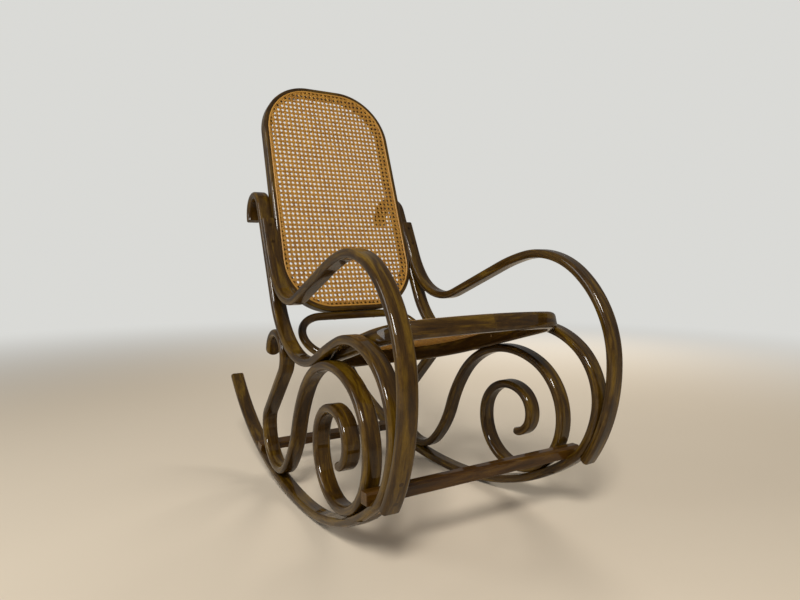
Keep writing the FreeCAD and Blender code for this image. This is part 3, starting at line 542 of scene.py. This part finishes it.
def weave(name, half, place, sizes, material):
    """The six-way weave of one panel: pairs of upright and level strands that pass over and
    under each other at every crossing, and single strands on both diagonals that cut the
    corners of the gaps to eight-sided holes."""
    pitch = sizes.pitch / MM
    spread = sizes.pair / MM / 2
    width = sizes.strand / MM
    thick = sizes.thickness / MM
    outline = ring_line(half, CANE_INSET, CANE_STEP)[0]
    middle = (outline.min(axis=0) + outline.max(axis=0)) / 2
    outline = outline - middle
    reach = int(np.abs(outline).sum(axis=1).max() / pitch) + 2
    counts = np.arange(-reach, reach + 1)
    pairs = (counts[:, None] * pitch + np.array([-spread, spread])).ravel()
    phases = np.array([-2 * spread, -spread, 0, spread, 2 * spread, pitch / 2])
    crossings = np.sort((counts[:, None] * pitch + phases).ravel())
    diagonals = (counts + 0.5) * pitch / math.sqrt(2)
    waves = np.arange(-reach * 6, reach * 6 + 1) * pitch * math.sqrt(2) / 12
    side = np.where(np.arange(len(pairs)) % 2, 1, -1)

    def over_under(position, sign):
        """Up on one strand of a crossed pair and down on the other, level between pairs."""
        near = (position + pitch / 2) % pitch - pitch / 2
        swing = np.sin(math.pi * near / (2 * spread))
        return sign * np.where(np.abs(near) < 2 * spread, swing, 0) * thick * PAIR_SWING

    def upright(line, point):
        return over_under(point[:, 1], side[line])

    def across(line, point):
        return over_under(point[:, 0], -side[line])

    def rising(line, point):
        return np.cos(2 * math.pi * point[:, 1] / pitch) * thick * DIAGONAL_SWING

    def falling(line, point):
        return -rising(line, point)

    families = (
        ("uprights", pairs, 90, crossings, upright, width),
        ("levels", -pairs, 0, crossings, across, width),
        ("rising", diagonals, 45, waves, rising, width * RISING_WIDTH),
        ("falling", diagonals, -45, waves, falling, width * FALLING_WIDTH),
    )
    y, z, slope = place
    angle = math.radians(slope)
    centre = (y + middle[1] * math.cos(angle), z + middle[1] * math.sin(angle), slope)
    for label, offsets, heading, places, wave, breadth in families:
        made = strands(f"{name}_{label}", outline, offsets, heading, places, wave, breadth,
                       thick, CANE_BED / 2, centre)
        made.data.materials.append(material)
        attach(made, "root")
        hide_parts(name)


def fill(node, values):
    """Give a node's inputs their values; a value that is a socket is linked."""
    for label, value in values.items():
        if isinstance(value, bpy.types.NodeSocket):
            node.id_data.links.new(value, node.inputs[label])
        else:
            node.inputs[label].default_value = value


def add_node(tree, kind, at, values=None, **settings):
    """A shader node at a place, with its settings and the values of its inputs."""
    made = tree.nodes.new("ShaderNode" + kind)
    made.location = at
    for label, setting in settings.items():
        setattr(made, label, setting)
    fill(made, values or {})
    return made


def noise(tree, at, vector, scale, detail, **more):
    """Noise over a vector."""
    values = {"Vector": vector, "Scale": scale, "Detail": detail, **more}
    return add_node(tree, "TexNoise", at, values).outputs[0]


def work_out(tree, at, operation, *values, **settings):
    """The outcome of one Math node."""
    return add_node(tree, "Math", at, dict(enumerate(values)), operation=operation,
                    **settings).outputs[0]


def spread_out(tree, at, value, low, high, reach="To"):
    """A value of 0 to 1 spread from low to high or, where the reach is From, a value of
    low to high spread from 0 to 1."""
    return add_node(tree, "MapRange", at, {"Value": value, reach + " Min": low,
                                           reach + " Max": high}).outputs[0]


def new_group(name, inputs, outputs):
    """An empty node group with named inputs and outputs."""
    tree = bpy.data.node_groups.new(name, "ShaderNodeTree")
    for label, kind in inputs:
        tree.interface.new_socket(label, in_out="INPUT", socket_type="NodeSocket" + kind)
    for label in outputs:
        tree.interface.new_socket(label, in_out="OUTPUT", socket_type="NodeSocketFloat")
    return tree, tree.nodes.new("NodeGroupInput"), tree.nodes.new("NodeGroupOutput")


def grain_group():
    """Fibres that follow the piece: noise over the grain coordinates, drawn out along the
    length. Figure is broad and slow, Fibre is fine, and Swell is the slight unevenness that
    the spokeshave leaves."""
    known = bpy.data.node_groups.get("fibre_grain")
    if known:
        return known
    tree, given, result = new_group(
        "fibre_grain", (("Along", "Vector"), ("Length", "Float"), ("Cross", "Float")),
        ("Figure", "Fibre", "Swell"))
    scale = add_node(tree, "CombineXYZ", (-600, 0), {"X": given.outputs["Length"],
                                                     "Y": given.outputs["Cross"],
                                                     "Z": given.outputs["Cross"]})
    drawn = add_node(tree, "VectorMath", (-420, 0),
                     {0: given.outputs["Along"], 1: scale.outputs[0]},
                     operation="MULTIPLY").outputs[0]
    fill(result, {
        "Figure": noise(tree, (-220, 200), drawn, 1.0, 3.0, Roughness=0.6, Distortion=0.6),
        "Fibre": noise(tree, (-220, -50), drawn, 9.0, 4.0, Roughness=0.7),
        "Swell": noise(tree, (-220, -300), given.outputs["Along"], 24.0, 1.0)})
    return tree


def wear_group():
    """Rubbed places: the edge value broken up by noise, and rare scuffs on the faces."""
    known = bpy.data.node_groups.get("rubbed_edges")
    if known:
        return known
    tree, given, result = new_group(
        "rubbed_edges", (("Edge", "Float"), ("Along", "Vector"), ("Amount", "Float")),
        ("Worn", "Scuff"))
    patches = noise(tree, (-500, 100), given.outputs["Along"], 16.0, 5.0, Roughness=0.65)
    lifted = spread_out(tree, (-320, 100), patches, 0.5, 0.72, "From")
    on_edge = work_out(tree, (-140, 100), "MULTIPLY", lifted, given.outputs["Edge"])
    worn = work_out(tree, (20, 100), "MULTIPLY", on_edge, given.outputs["Amount"],
                    use_clamp=True)
    specks = noise(tree, (-500, -150), given.outputs["Along"], 160.0, 2.0)
    fill(result, {"Worn": worn,
                  "Scuff": spread_out(tree, (-320, -150), specks, 0.66, 0.74, "From")})
    return tree


def ramp(tree, at, value, stops):
    """A colour ramp over (position, colour) stops."""
    made = add_node(tree, "ValToRGB", at, {"Fac": value})
    elements = made.color_ramp.elements
    while len(elements) < len(stops):
        elements.new(1.0)
    for element, (position, colour) in zip(elements, stops):
        element.position = position
        element.color = (*colour, 1.0)
    return made.outputs[0]


def blend(tree, at, factor, first, second, mode="MIX"):
    """A mix of two colours; 6 and 7 are the colour inputs of a Mix node and 2 its output."""
    return add_node(tree, "Mix", at, {0: factor, 6: first, 7: second}, data_type="RGBA",
                    blend_type=mode).outputs[2]


def middle_of(first, second, share):
    """The colour a share of the way from one to another."""
    return tuple(a + (b - a) * share for a, b in zip(first, second))


def new_material(name):
    """A material with only a Principled shader on its output."""
    material = bpy.data.materials.new(name)
    material.use_nodes = True
    tree = material.node_tree
    tree.nodes.clear()
    shader = add_node(tree, "BsdfPrincipled", (500, 0))
    add_node(tree, "OutputMaterial", (800, 0), {"Surface": shader.outputs[0]})
    return material, tree, shader


def grained(tree, length, cross):
    """The grain coordinates of a piece and the grain over them."""
    along = add_node(tree, "Attribute", (-1200, 100),
                     attribute_name="along").outputs["Vector"]
    grain = add_node(tree, "Group", (-950, 100),
                     {"Along": along, "Length": length, "Cross": cross},
                     node_tree=grain_group())
    return along, grain


def varnished_wood(name, dark, middle, light, worn):
    """Stained beech under glossy varnish: slow and fine grain in the stain, stain rubbed
    thin on the edges, small scuffs in the gloss and a slightly uneven surface."""
    known = bpy.data.materials.get(name)
    if known:
        return known
    material, tree, shader = new_material(name)
    along, grain = grained(tree, 9.0, 70.0)
    edge = add_node(tree, "Attribute", (-1200, -300), attribute_name="edge")
    rubbed = add_node(tree, "Group", (-950, -200),
                      {"Edge": edge.outputs["Fac"], "Along": along, "Amount": 0.35},
                      node_tree=wear_group())
    broad = ramp(tree, (-700, 300), grain.outputs["Figure"],
                 ((0.24, dark), (0.50, middle), (0.78, light)))
    fine = ramp(tree, (-700, 0), grain.outputs["Fibre"],
                ((0.35, (0.55, 0.52, 0.5)), (0.6, (1.0, 1.0, 1.0))))
    stained = blend(tree, (-350, 200), 0.8, broad, fine, "MULTIPLY")
    colour = blend(tree, (-150, 100), rubbed.outputs["Worn"], stained, (*worn, 1.0))
    height = work_out(tree, (60, -300), "MULTIPLY_ADD", grain.outputs["Fibre"], 0.02,
                      grain.outputs["Swell"])
    bump = add_node(tree, "Bump", (250, -300),
                    {"Height": height, "Strength": 0.35, "Distance": 0.0012})
    fill(shader, {
        "Base Color": colour,
        "Roughness": spread_out(tree, (-350, -150), grain.outputs["Fibre"], 0.4, 0.6),
        "Specular IOR Level": 0.05,
        "Coat Weight": spread_out(tree, (-350, -400), rubbed.outputs["Scuff"], 0.68, 0.4),
        "Coat Roughness": 0.05, "Coat IOR": 1.45, "Normal": bump.outputs[0]})
    return material


def cane_material(name, dark, light, gloss, fine):
    """Split cane: each strand has its own shade, with slow colour changes and fine fibres
    along it under a thin gloss."""
    known = bpy.data.materials.get(name)
    if known:
        return known
    material, tree, shader = new_material(name)
    grain = grained(tree, 12.0, 500.0)[1]
    strand = add_node(tree, "Attribute", (-1200, -250), attribute_name="strand")
    shade = work_out(tree, (-700, -150), "ADD", strand.outputs["Fac"],
                     grain.outputs["Figure"])
    body = ramp(tree, (-380, 100), work_out(tree, (-540, -150), "MULTIPLY", shade, 0.5),
                ((0.2, dark), (0.5, middle_of(dark, light, 0.5)), (0.85, light)))
    fibres = ramp(tree, (-380, -150), grain.outputs["Fibre"],
                  ((0.3, (fine, fine, fine)), (0.6, (1.0, 1.0, 1.0))))
    colour = blend(tree, (-100, 50), 0.7, body, fibres, "MULTIPLY")
    rough = spread_out(tree, (-100, -200), grain.outputs["Fibre"], gloss, gloss + 0.2)
    bump = add_node(tree, "Bump", (250, -300),
                    {"Height": grain.outputs["Fibre"], "Strength": 0.3, "Distance": 0.0002})
    fill(shader, {"Base Color": colour, "Roughness": rough, "Specular IOR Level": 0.3,
                  "Normal": bump.outputs[0]})
    return material


def screw_material(colour):
    """Brassed steel that has dulled: smoky patches in colour and roughness."""
    material, tree, shader = new_material("dulled_brass")
    place = add_node(tree, "TexCoord", (-900, 0))
    patches = noise(tree, (-700, 0), place.outputs["Object"], 420.0, 3.0)
    tint = ramp(tree, (-450, 100), patches,
                ((0.35, middle_of(colour, (0, 0, 0), 0.6)), (0.65, colour)))
    rough = spread_out(tree, (-450, -150), patches, 0.25, 0.55)
    fill(shader, {"Base Color": tint, "Roughness": rough, "Metallic": 1.0})
    return material


def chosen(*names):
    """The user's colours with these names."""
    return [tuple(getattr(bpy.context.scene.rocker_finishes, name)) for name in names]


def rod_wood():
    """The varnished beech of rods, rails and loop."""
    return varnished_wood("stained_beech",
                          *chosen("stain_dark", "stain_middle", "stain_light", "worn"))


def bar_wood():
    """The redder varnished wood of the stretchers."""
    return varnished_wood("stained_bar",
                          *chosen("bar_dark", "bar_middle", "bar_light", "worn"))


class BendSideMembers(bpy.types.Operator):
    """Bend the two side members, from the scarf up the front, along the seat and up"""

    bl_idname = "rocker.bend_side_members"
    bl_label = "Side members"

    def execute(self, context):
        sizes = context.scene.rocker_rods
        rod = rod_grid(SIDE_MEMBER, SIDE_START, SIDE_HEADING, (0, 2), sizes)
        grid, along, edge = scarfed(*rod, 1)
        pair_of_rods("side_member", grid, along, edge, sizes)
        return {"FINISHED"}


class BendRunners(bpy.types.Operator):
    """Bend the two runners and flatten them where they rest on the floor"""

    bl_idname = "rocker.bend_runners"
    bl_label = "Runners"

    def execute(self, context):
        sizes = context.scene.rocker_rods
        rod = rod_grid(RUNNER, RUNNER_START, RUNNER_HEADING, (0, 2), sizes)
        grid, along, edge = scarfed(*rod, -1)
        grid[..., 2] = np.maximum(grid[..., 2], 0)
        pair_of_rods("runner", grid, along, edge, sizes)
        return {"FINISHED"}


class BendArms(bpy.types.Operator):
    """Bend the two arms, from the back posts forward and down to the front"""

    bl_idname = "rocker.bend_arms"
    bl_label = "Arms"

    def execute(self, context):
        sizes = context.scene.rocker_rods
        grid, along, edge, _ = rod_grid(ARM, ARM_START, ARM_HEADING, (4, 2), sizes)
        pair_of_rods("arm", grid, along, edge, sizes)
        return {"FINISHED"}


class BendScrolls(bpy.types.Operator):
    """Bend the two inner scrolls"""

    bl_idname = "rocker.bend_scrolls"
    bl_label = "Scrolls"

    def execute(self, context):
        sizes = context.scene.rocker_rods
        grid, along, edge, _ = rod_grid(SCROLL, SCROLL_START, SCROLL_HEADING, (2, 2), sizes,
                                        SCROLL_TONGUES)
        pair_of_rods("scroll", grid, along, edge, sizes)
        return {"FINISHED"}


def make_hoop(name, half, outline, place, material, node):
    """One closed rail in its place, finished, tied to the frame, with its node hidden."""
    grid, along, edge = hoop_grid(half, *outline, RING_STEP)
    made = skin(name, in_place(grid, place), along, edge, closed=True)
    finish(made, material, [node])


class BendSeatRing(bpy.types.Operator):
    """Bend the seat ring with its groove and cane bed"""

    bl_idname = "rocker.bend_seat_ring"
    bl_label = "Seat ring"

    def execute(self, context):
        make_hoop("seat_ring_rail", SEAT_HALF, rail_outline(*SEAT_RAIL), SEAT_PLACE,
                  rod_wood(), "seat_ring")
        return {"FINISHED"}


class BendBackFrame(bpy.types.Operator):
    """Bend the back frame with its groove and cane bed"""

    bl_idname = "rocker.bend_back_frame"
    bl_label = "Back frame"

    def execute(self, context):
        make_hoop("back_frame_rail", BACK_HALF, rail_outline(*BACK_RAIL), BACK_PLACE,
                  rod_wood(), "back_frame")
        return {"FINISHED"}


class BendLoop(bpy.types.Operator):
    """Bend the round loop between the back frame and the seat"""

    bl_idname = "rocker.bend_loop"
    bl_label = "Lumbar loop"

    def execute(self, context):
        turn = np.linspace(0, 2 * math.pi, LOOP_FACETS, endpoint=False)
        outline = unit(turn) * LOOP_RADIUS
        make_hoop("lumbar_loop_rod", LOOP_HALF, (outline, np.zeros(len(turn))), LOOP_PLACE,
                  rod_wood(), "lumbar_loop")
        return {"FINISHED"}


def make_bar(name, corners, length, place, node):
    """A straight bar across the chair: its outline carried along X, with long edges eased
    and both ends drawn in a little over their last millimetres."""
    outline, edge = rounded(corners, [BAR_ROUNDING] * len(corners))
    ease = BAR_ROUNDING * (1 - np.sin(quarter(4)))
    inset = BAR_ROUNDING * (1 - np.cos(quarter(4)))
    middle = np.linspace(-length / 2 + BAR_ROUNDING, length / 2 - BAR_ROUNDING,
                         BAR_SECTIONS)[1:-1]
    across = np.concatenate([-length / 2 + ease[::-1], middle, length / 2 - ease])
    drawn = np.concatenate([inset[::-1], np.zeros(len(middle)), inset])
    shrink = 1 - drawn[:, None, None] / np.abs(outline).max(axis=0)
    section = outline[None] * shrink
    shape = section.shape[:2] + (1,)
    stretch = np.broadcast_to(across[:, None, None], shape)
    grid = np.concatenate([stretch, section], axis=-1)
    made = skin(name, in_place(grid, place), grid.copy(), np.broadcast_to(edge, shape[:2]))
    finish(made, bar_wood(), [node], crease=30)


class ShapeStretchers(bpy.types.Operator):
    """Shape the front and rear stretchers"""

    bl_idname = "rocker.shape_stretchers"
    bl_label = "Stretchers"

    def execute(self, context):
        make_bar("front_stretcher_bar", FRONT_BAR, FRONT_BAR_LENGTH, FRONT_BAR_PLACE,
                 "front_stretcher")
        make_bar("rear_stretcher_bar", REAR_BAR, REAR_BAR_LENGTH, REAR_BAR_PLACE,
                 "rear_stretcher")
        return {"FINISHED"}


class WeaveCane(bpy.types.Operator):
    """Weave the cane of the seat and of the back"""

    bl_idname = "rocker.weave_cane"
    bl_label = "Cane"

    def execute(self, context):
        sizes = context.scene.rocker_cane
        material = cane_material("split_cane", *chosen("cane_dark", "cane_light"), 0.3, 0.7)
        weave("seat_cane", SEAT_HALF, SEAT_PLACE, sizes, material)
        weave("back_cane", BACK_HALF, BACK_PLACE, sizes, material)
        return {"FINISHED"}


class LaySplines(bpy.types.Operator):
    """Lay the rattan splines in their grooves"""

    bl_idname = "rocker.lay_splines"
    bl_label = "Splines"

    def execute(self, context):
        material = cane_material("rattan_spline", *chosen("spline_dark", "spline_light"),
                                 0.25, 0.8)
        outline = rounded(SPLINE_CORNERS, SPLINE_ROUNDINGS)
        make_hoop("seat_spline_reed", SEAT_HALF, outline, SEAT_PLACE, material,
                  "seat_spline")
        make_hoop("back_spline_reed", BACK_HALF, outline, BACK_PLACE, material,
                  "back_spline")
        return {"FINISHED"}


def screw_head():
    """A slotted head as (height, x, y): on columns at x = R u the face is at
    y = v sqrt(R^2 - x^2) and stands dome (1 - (x^2 + y^2) / R^2) proud, and the slot's
    depth lower where u is within the slot. The same points return along a level
    underside."""
    radius, dome, slot, slot_depth, floor = 4.5, 0.5, 0.1, 0.9, -1.5
    half = np.array([slot, slot + 0.001, 0.3, 0.5, 0.7, 0.85, 0.98])
    share = np.concatenate([-half[::-1], half])[:, None]
    x = radius * share
    y = np.linspace(-1, 1, 11) * np.sqrt(radius ** 2 - x ** 2)
    face = (dome * (1 - (x ** 2 + y ** 2) / radius ** 2)
            - slot_depth * (np.abs(share) <= slot))
    section = np.stack([face, np.broadcast_to(x, y.shape), y], axis=-1)
    under = section[:, ::-1].copy()
    under[..., 0] = floor
    return np.concatenate([section, under], axis=1)


class FinishScrews(bpy.types.Operator):
    """Give the screws their dulled brass, or stained wood where the heads are stopped, and
    the seat's their slots
    """

    bl_idname = "rocker.finish_screws"
    bl_label = "Screws"

    def execute(self, context):
        brass = screw_material(*chosen("screw"))
        for node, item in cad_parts.items():
            if node.endswith("_screws"):
                for slot in item.material_slots:
                    slot.material = rod_wood() if node in STOPPED_HEADS else brass
        sizes = context.scene.rocker_rods
        places = trace(SIDE_MEMBER, SIDE_START, SIDE_HEADING, np.array(SEAT_SCREWS_AT))[0]
        head = screw_head()
        for number, place in enumerate(places, start=1):
            turn = math.radians(SLOT_TURN * number)
            turned = np.array([unit(np.array(turn)), unit(np.array(turn + math.pi / 2))])
            grid = np.concatenate([SEAT_SCREW_LEVEL + head[..., :1],
                                   place + head[..., 1:] @ turned], axis=-1)
            right = in_side_plane(grid, sizes)
            for side, mirror in SIDES:
                made = skin(f"seat_screw_head_{number}_{side}",
                            right * np.array([mirror, 1, 1]), head, np.zeros(head.shape[:2]))
                finish(made, brass, ["seat_side_screws"])
        return {"FINISHED"}


def area_light(name, place, size, power, colour, mirrored=True):
    """A soft rectangular light at a place, turned to the target; it can be kept out of
    reflections."""
    lamp = bpy.data.lights.new(name, "AREA")
    lamp.shape = "RECTANGLE"
    lamp.size, lamp.size_y = size
    lamp.energy = power
    lamp.color = colour
    made = bpy.data.objects.new(name, lamp)
    made.location = place
    heading = np.array(LAMP_TARGET) - np.array(place)
    level = math.hypot(heading[0], heading[1])
    made.rotation_euler = (math.atan2(level, -heading[2]), 0,
                           math.atan2(heading[1], heading[0]) - math.pi / 2)
    made.visible_glossy = mirrored
    bpy.context.scene.collection.objects.link(made)


def seen_by_eye(tree, at):
    """1 for the camera and for what shows through clear things, a share for reflections
    and 0 for the light itself."""
    path = add_node(tree, "LightPath", at)
    mirrored = work_out(tree, (at[0] + 180, at[1]), "MULTIPLY_ADD",
                        path.outputs["Is Glossy Ray"], MIRRORED_SHARE,
                        path.outputs["Is Camera Ray"])
    return work_out(tree, (at[0] + 340, at[1]), "MAXIMUM", mirrored,
                    path.outputs["Is Transmission Ray"])


def join_shaders(tree, at, factor, first, second):
    """Mix two shaders and put them on the tree's output."""
    mixed = add_node(tree, "MixShader", at, {0: factor, 1: first.outputs[0],
                                             2: second.outputs[0]})
    output = next(node for node in tree.nodes if "Surface" in node.inputs)
    fill(output, {"Surface": mixed.outputs[0]})


class SetStage(bpy.types.Operator):
    """Set the pale floor, the soft studio light and the camera"""

    bl_idname = "rocker.set_stage"
    bl_label = "Stage"

    def execute(self, context):
        scene = context.scene
        settings = scene.rocker_stage
        mesh = bpy.data.meshes.new("floor")
        corners = [(x * FLOOR_REACH, y * FLOOR_REACH, 0)
                   for x, y in ((-1, -1), (1, -1), (1, 1), (-1, 1))]
        mesh.from_pydata(corners, [], [(0, 1, 2, 3)])
        floor = bpy.data.objects.new("floor", mesh)
        scene.collection.objects.link(floor)
        material, tree, shader = new_material("pale_floor")
        fill(shader, {"Base Color": FLOOR_COLOUR, "Roughness": 0.6})
        place = add_node(tree, "TexCoord", (-400, 300))
        distance = add_node(tree, "VectorMath", (-200, 300), {0: place.outputs["Object"]},
                            operation="LENGTH")
        far = add_node(tree, "MapRange", (0, 300),
                       {"Value": distance.outputs["Value"], "From Min": FADE_START,
                        "From Max": FADE_END}, interpolation_type="SMOOTHSTEP")
        seen = seen_by_eye(tree, (0, 550))
        faded = work_out(tree, (250, 400), "MULTIPLY", far.outputs[0], seen)
        wall = add_node(tree, "Emission", (500, 300), {"Color": WALL_COLOUR})
        join_shaders(tree, (750, 200), faded, shader, wall)
        mesh.materials.append(material)
        world = bpy.data.worlds.new("studio")
        scene.world = world
        world.use_nodes = True
        sky = world.node_tree
        sky.nodes.clear()
        add_node(sky, "OutputWorld", (450, 50))
        room = add_node(sky, "Background", (0, 150), {"Color": (*LAMP_COLOUR, 1),
                                                      "Strength": settings.sky})
        wall = add_node(sky, "Background", (0, -50), {"Color": WALL_COLOUR})
        join_shaders(sky, (250, 50), seen_by_eye(sky, (-500, 250)), room, wall)
        area_light("key", (-1.7, -2.5, 2.7), (0.9, 0.9), settings.key, LAMP_COLOUR)
        area_light("window", (-3.0, 0.4, 1.5), (1.2, 2.0), settings.window,
                   (0.93, 0.97, 1.0))
        area_light("rear", (2.7, 2.0, 1.9), (1.6, 1.6), settings.rear, LAMP_COLOUR,
                   mirrored=False)
        camera = bpy.data.cameras.new("camera")
        camera.lens = CAMERA_LENS
        camera.sensor_width = 36
        view = bpy.data.objects.new("camera", camera)
        view.location = CAMERA_PLACE
        view.rotation_euler = (math.radians(CAMERA_TILT), 0, math.radians(CAMERA_HEADING))
        scene.collection.objects.link(view)
        scene.camera = view
        scene.view_settings.view_transform = "Standard"
        return {"FINISHED"}


OPERATORS = (BendSideMembers, BendRunners, BendArms, BendScrolls, BendSeatRing,
             BendBackFrame, BendLoop, ShapeStretchers, WeaveCane, LaySplines, FinishScrews,
             SetStage)


class RockerPanel(bpy.types.Panel):
    """Lists the chair's pieces and its stage"""

    bl_idname = "VIEW3D_PT_rocker"
    bl_label = "Rocking chair"
    bl_space_type = "VIEW_3D"
    bl_region_type = "UI"
    bl_category = "Rocker"

    def draw(self, context):
        for operator in OPERATORS:
            self.layout.operator(operator.bl_idname)


GROUPS = {"rocker_rods": RodSizes, "rocker_cane": CaneSizes, "rocker_finishes": Finishes,
          "rocker_stage": StageSettings}


def register():
    """Register the settings, the operators and the panel."""
    for label, settings in GROUPS.items():
        bpy.utils.register_class(settings)
        setattr(bpy.types.Scene, label, bpy.props.PointerProperty(type=settings))
    for item in (*OPERATORS, RockerPanel):
        bpy.utils.register_class(item)


def unregister():
    """Take the panel, the operators and the settings away again."""
    for item in (RockerPanel, *reversed(OPERATORS)):
        bpy.utils.unregister_class(item)
    for label, settings in GROUPS.items():
        delattr(bpy.types.Scene, label)
        bpy.utils.unregister_class(settings)


def main():
    """Build every piece and the stage."""
    register()
    for operator in OPERATORS:
        group, action = operator.bl_idname.split(".")
        getattr(getattr(bpy.ops, group), action)()


if __name__ == "__main__":
    main()
